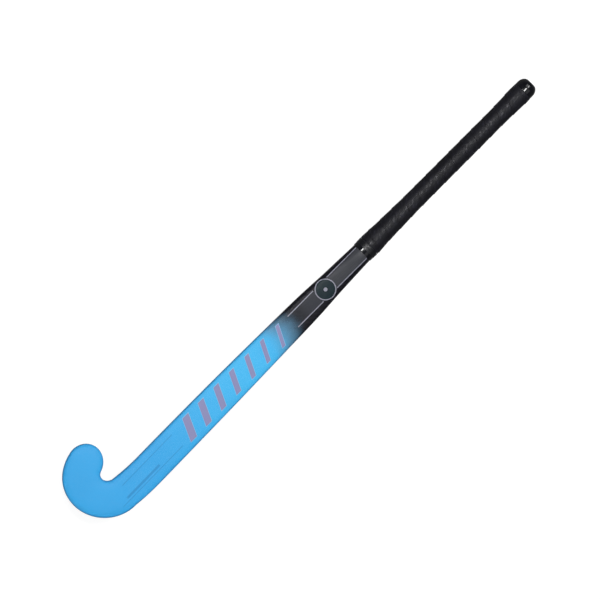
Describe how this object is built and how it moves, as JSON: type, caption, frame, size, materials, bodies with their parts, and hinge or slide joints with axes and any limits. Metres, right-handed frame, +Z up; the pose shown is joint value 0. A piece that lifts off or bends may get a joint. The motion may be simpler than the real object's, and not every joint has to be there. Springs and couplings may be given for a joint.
{
  "type": "field hockey stick",
  "caption": "Hollow composite field hockey stick with a curved hook head, flat playing face, bowed shaft fading from blue to black and a wrapped grip.",
  "frame": {"origin": "the middle of the stick's footprint box, on the surface it lies on", "axes": "+X runs along the stick from the hook to the butt, +Y towards the toe, +Z up; the playing face is up, rolled 14.35 degrees towards the toe, with the handle rising 2.37 degrees towards the butt"},
  "size_m": [0.8138, 0.1152, 0.0422],
  "materials": {
    "lacquered_laminate": "clear-lacquered composite, sky blue on the hook and lower shaft fading to black towards the grip",
    "bare_laminate": "uncoated carbon and glass laminate, never seen",
    "aramid_ply": "woven aramid ply set in resin, never seen",
    "rigid_foam": "closed-cell structural foam, never seen",
    "cap_plastic": "glossy black moulded cap",
    "underlay_foam": "thin cushion tape, never seen",
    "grip_polyurethane": "soft satin polyurethane wrap with a fine pebble texture and overlapping turns",
    "finishing_tape": "smooth glossy black tape",
    "silver_film": "pale silver-grey printed film",
    "blue_film": "darker blue printed film",
    "mauve_film": "grey-mauve printed film",
    "teal_film": "dark teal printed film"
  },
  "bodies": {
    "root": {"outer_shell": "lacquered_laminate", "toe_side_chamber": "bare_laminate", "heel_side_chamber": "bare_laminate", "head_sleeve": "aramid_ply", "head_core": "rigid_foam", "throat_plug": "rigid_foam", "handle_foam": "rigid_foam", "butt_cap": "cap_plastic", "grip_underlay": "underlay_foam", "grip_wrap": "grip_polyurethane", "finishing_tape": "finishing_tape", "upper_stripe_toe_side": "silver_film", "upper_stripe_heel_side": "silver_film", "lower_stripe_toe_side": "silver_film", "lower_stripe_heel_side": "silver_film", "head_line_toe_side": "blue_film", "head_line_heel_side": "blue_film", "caption_bar": "blue_film", "slanted_bars": "mauve_film", "badge_disc": "teal_film", "badge_ring": "silver_film"}
  },
  "joints": []
}
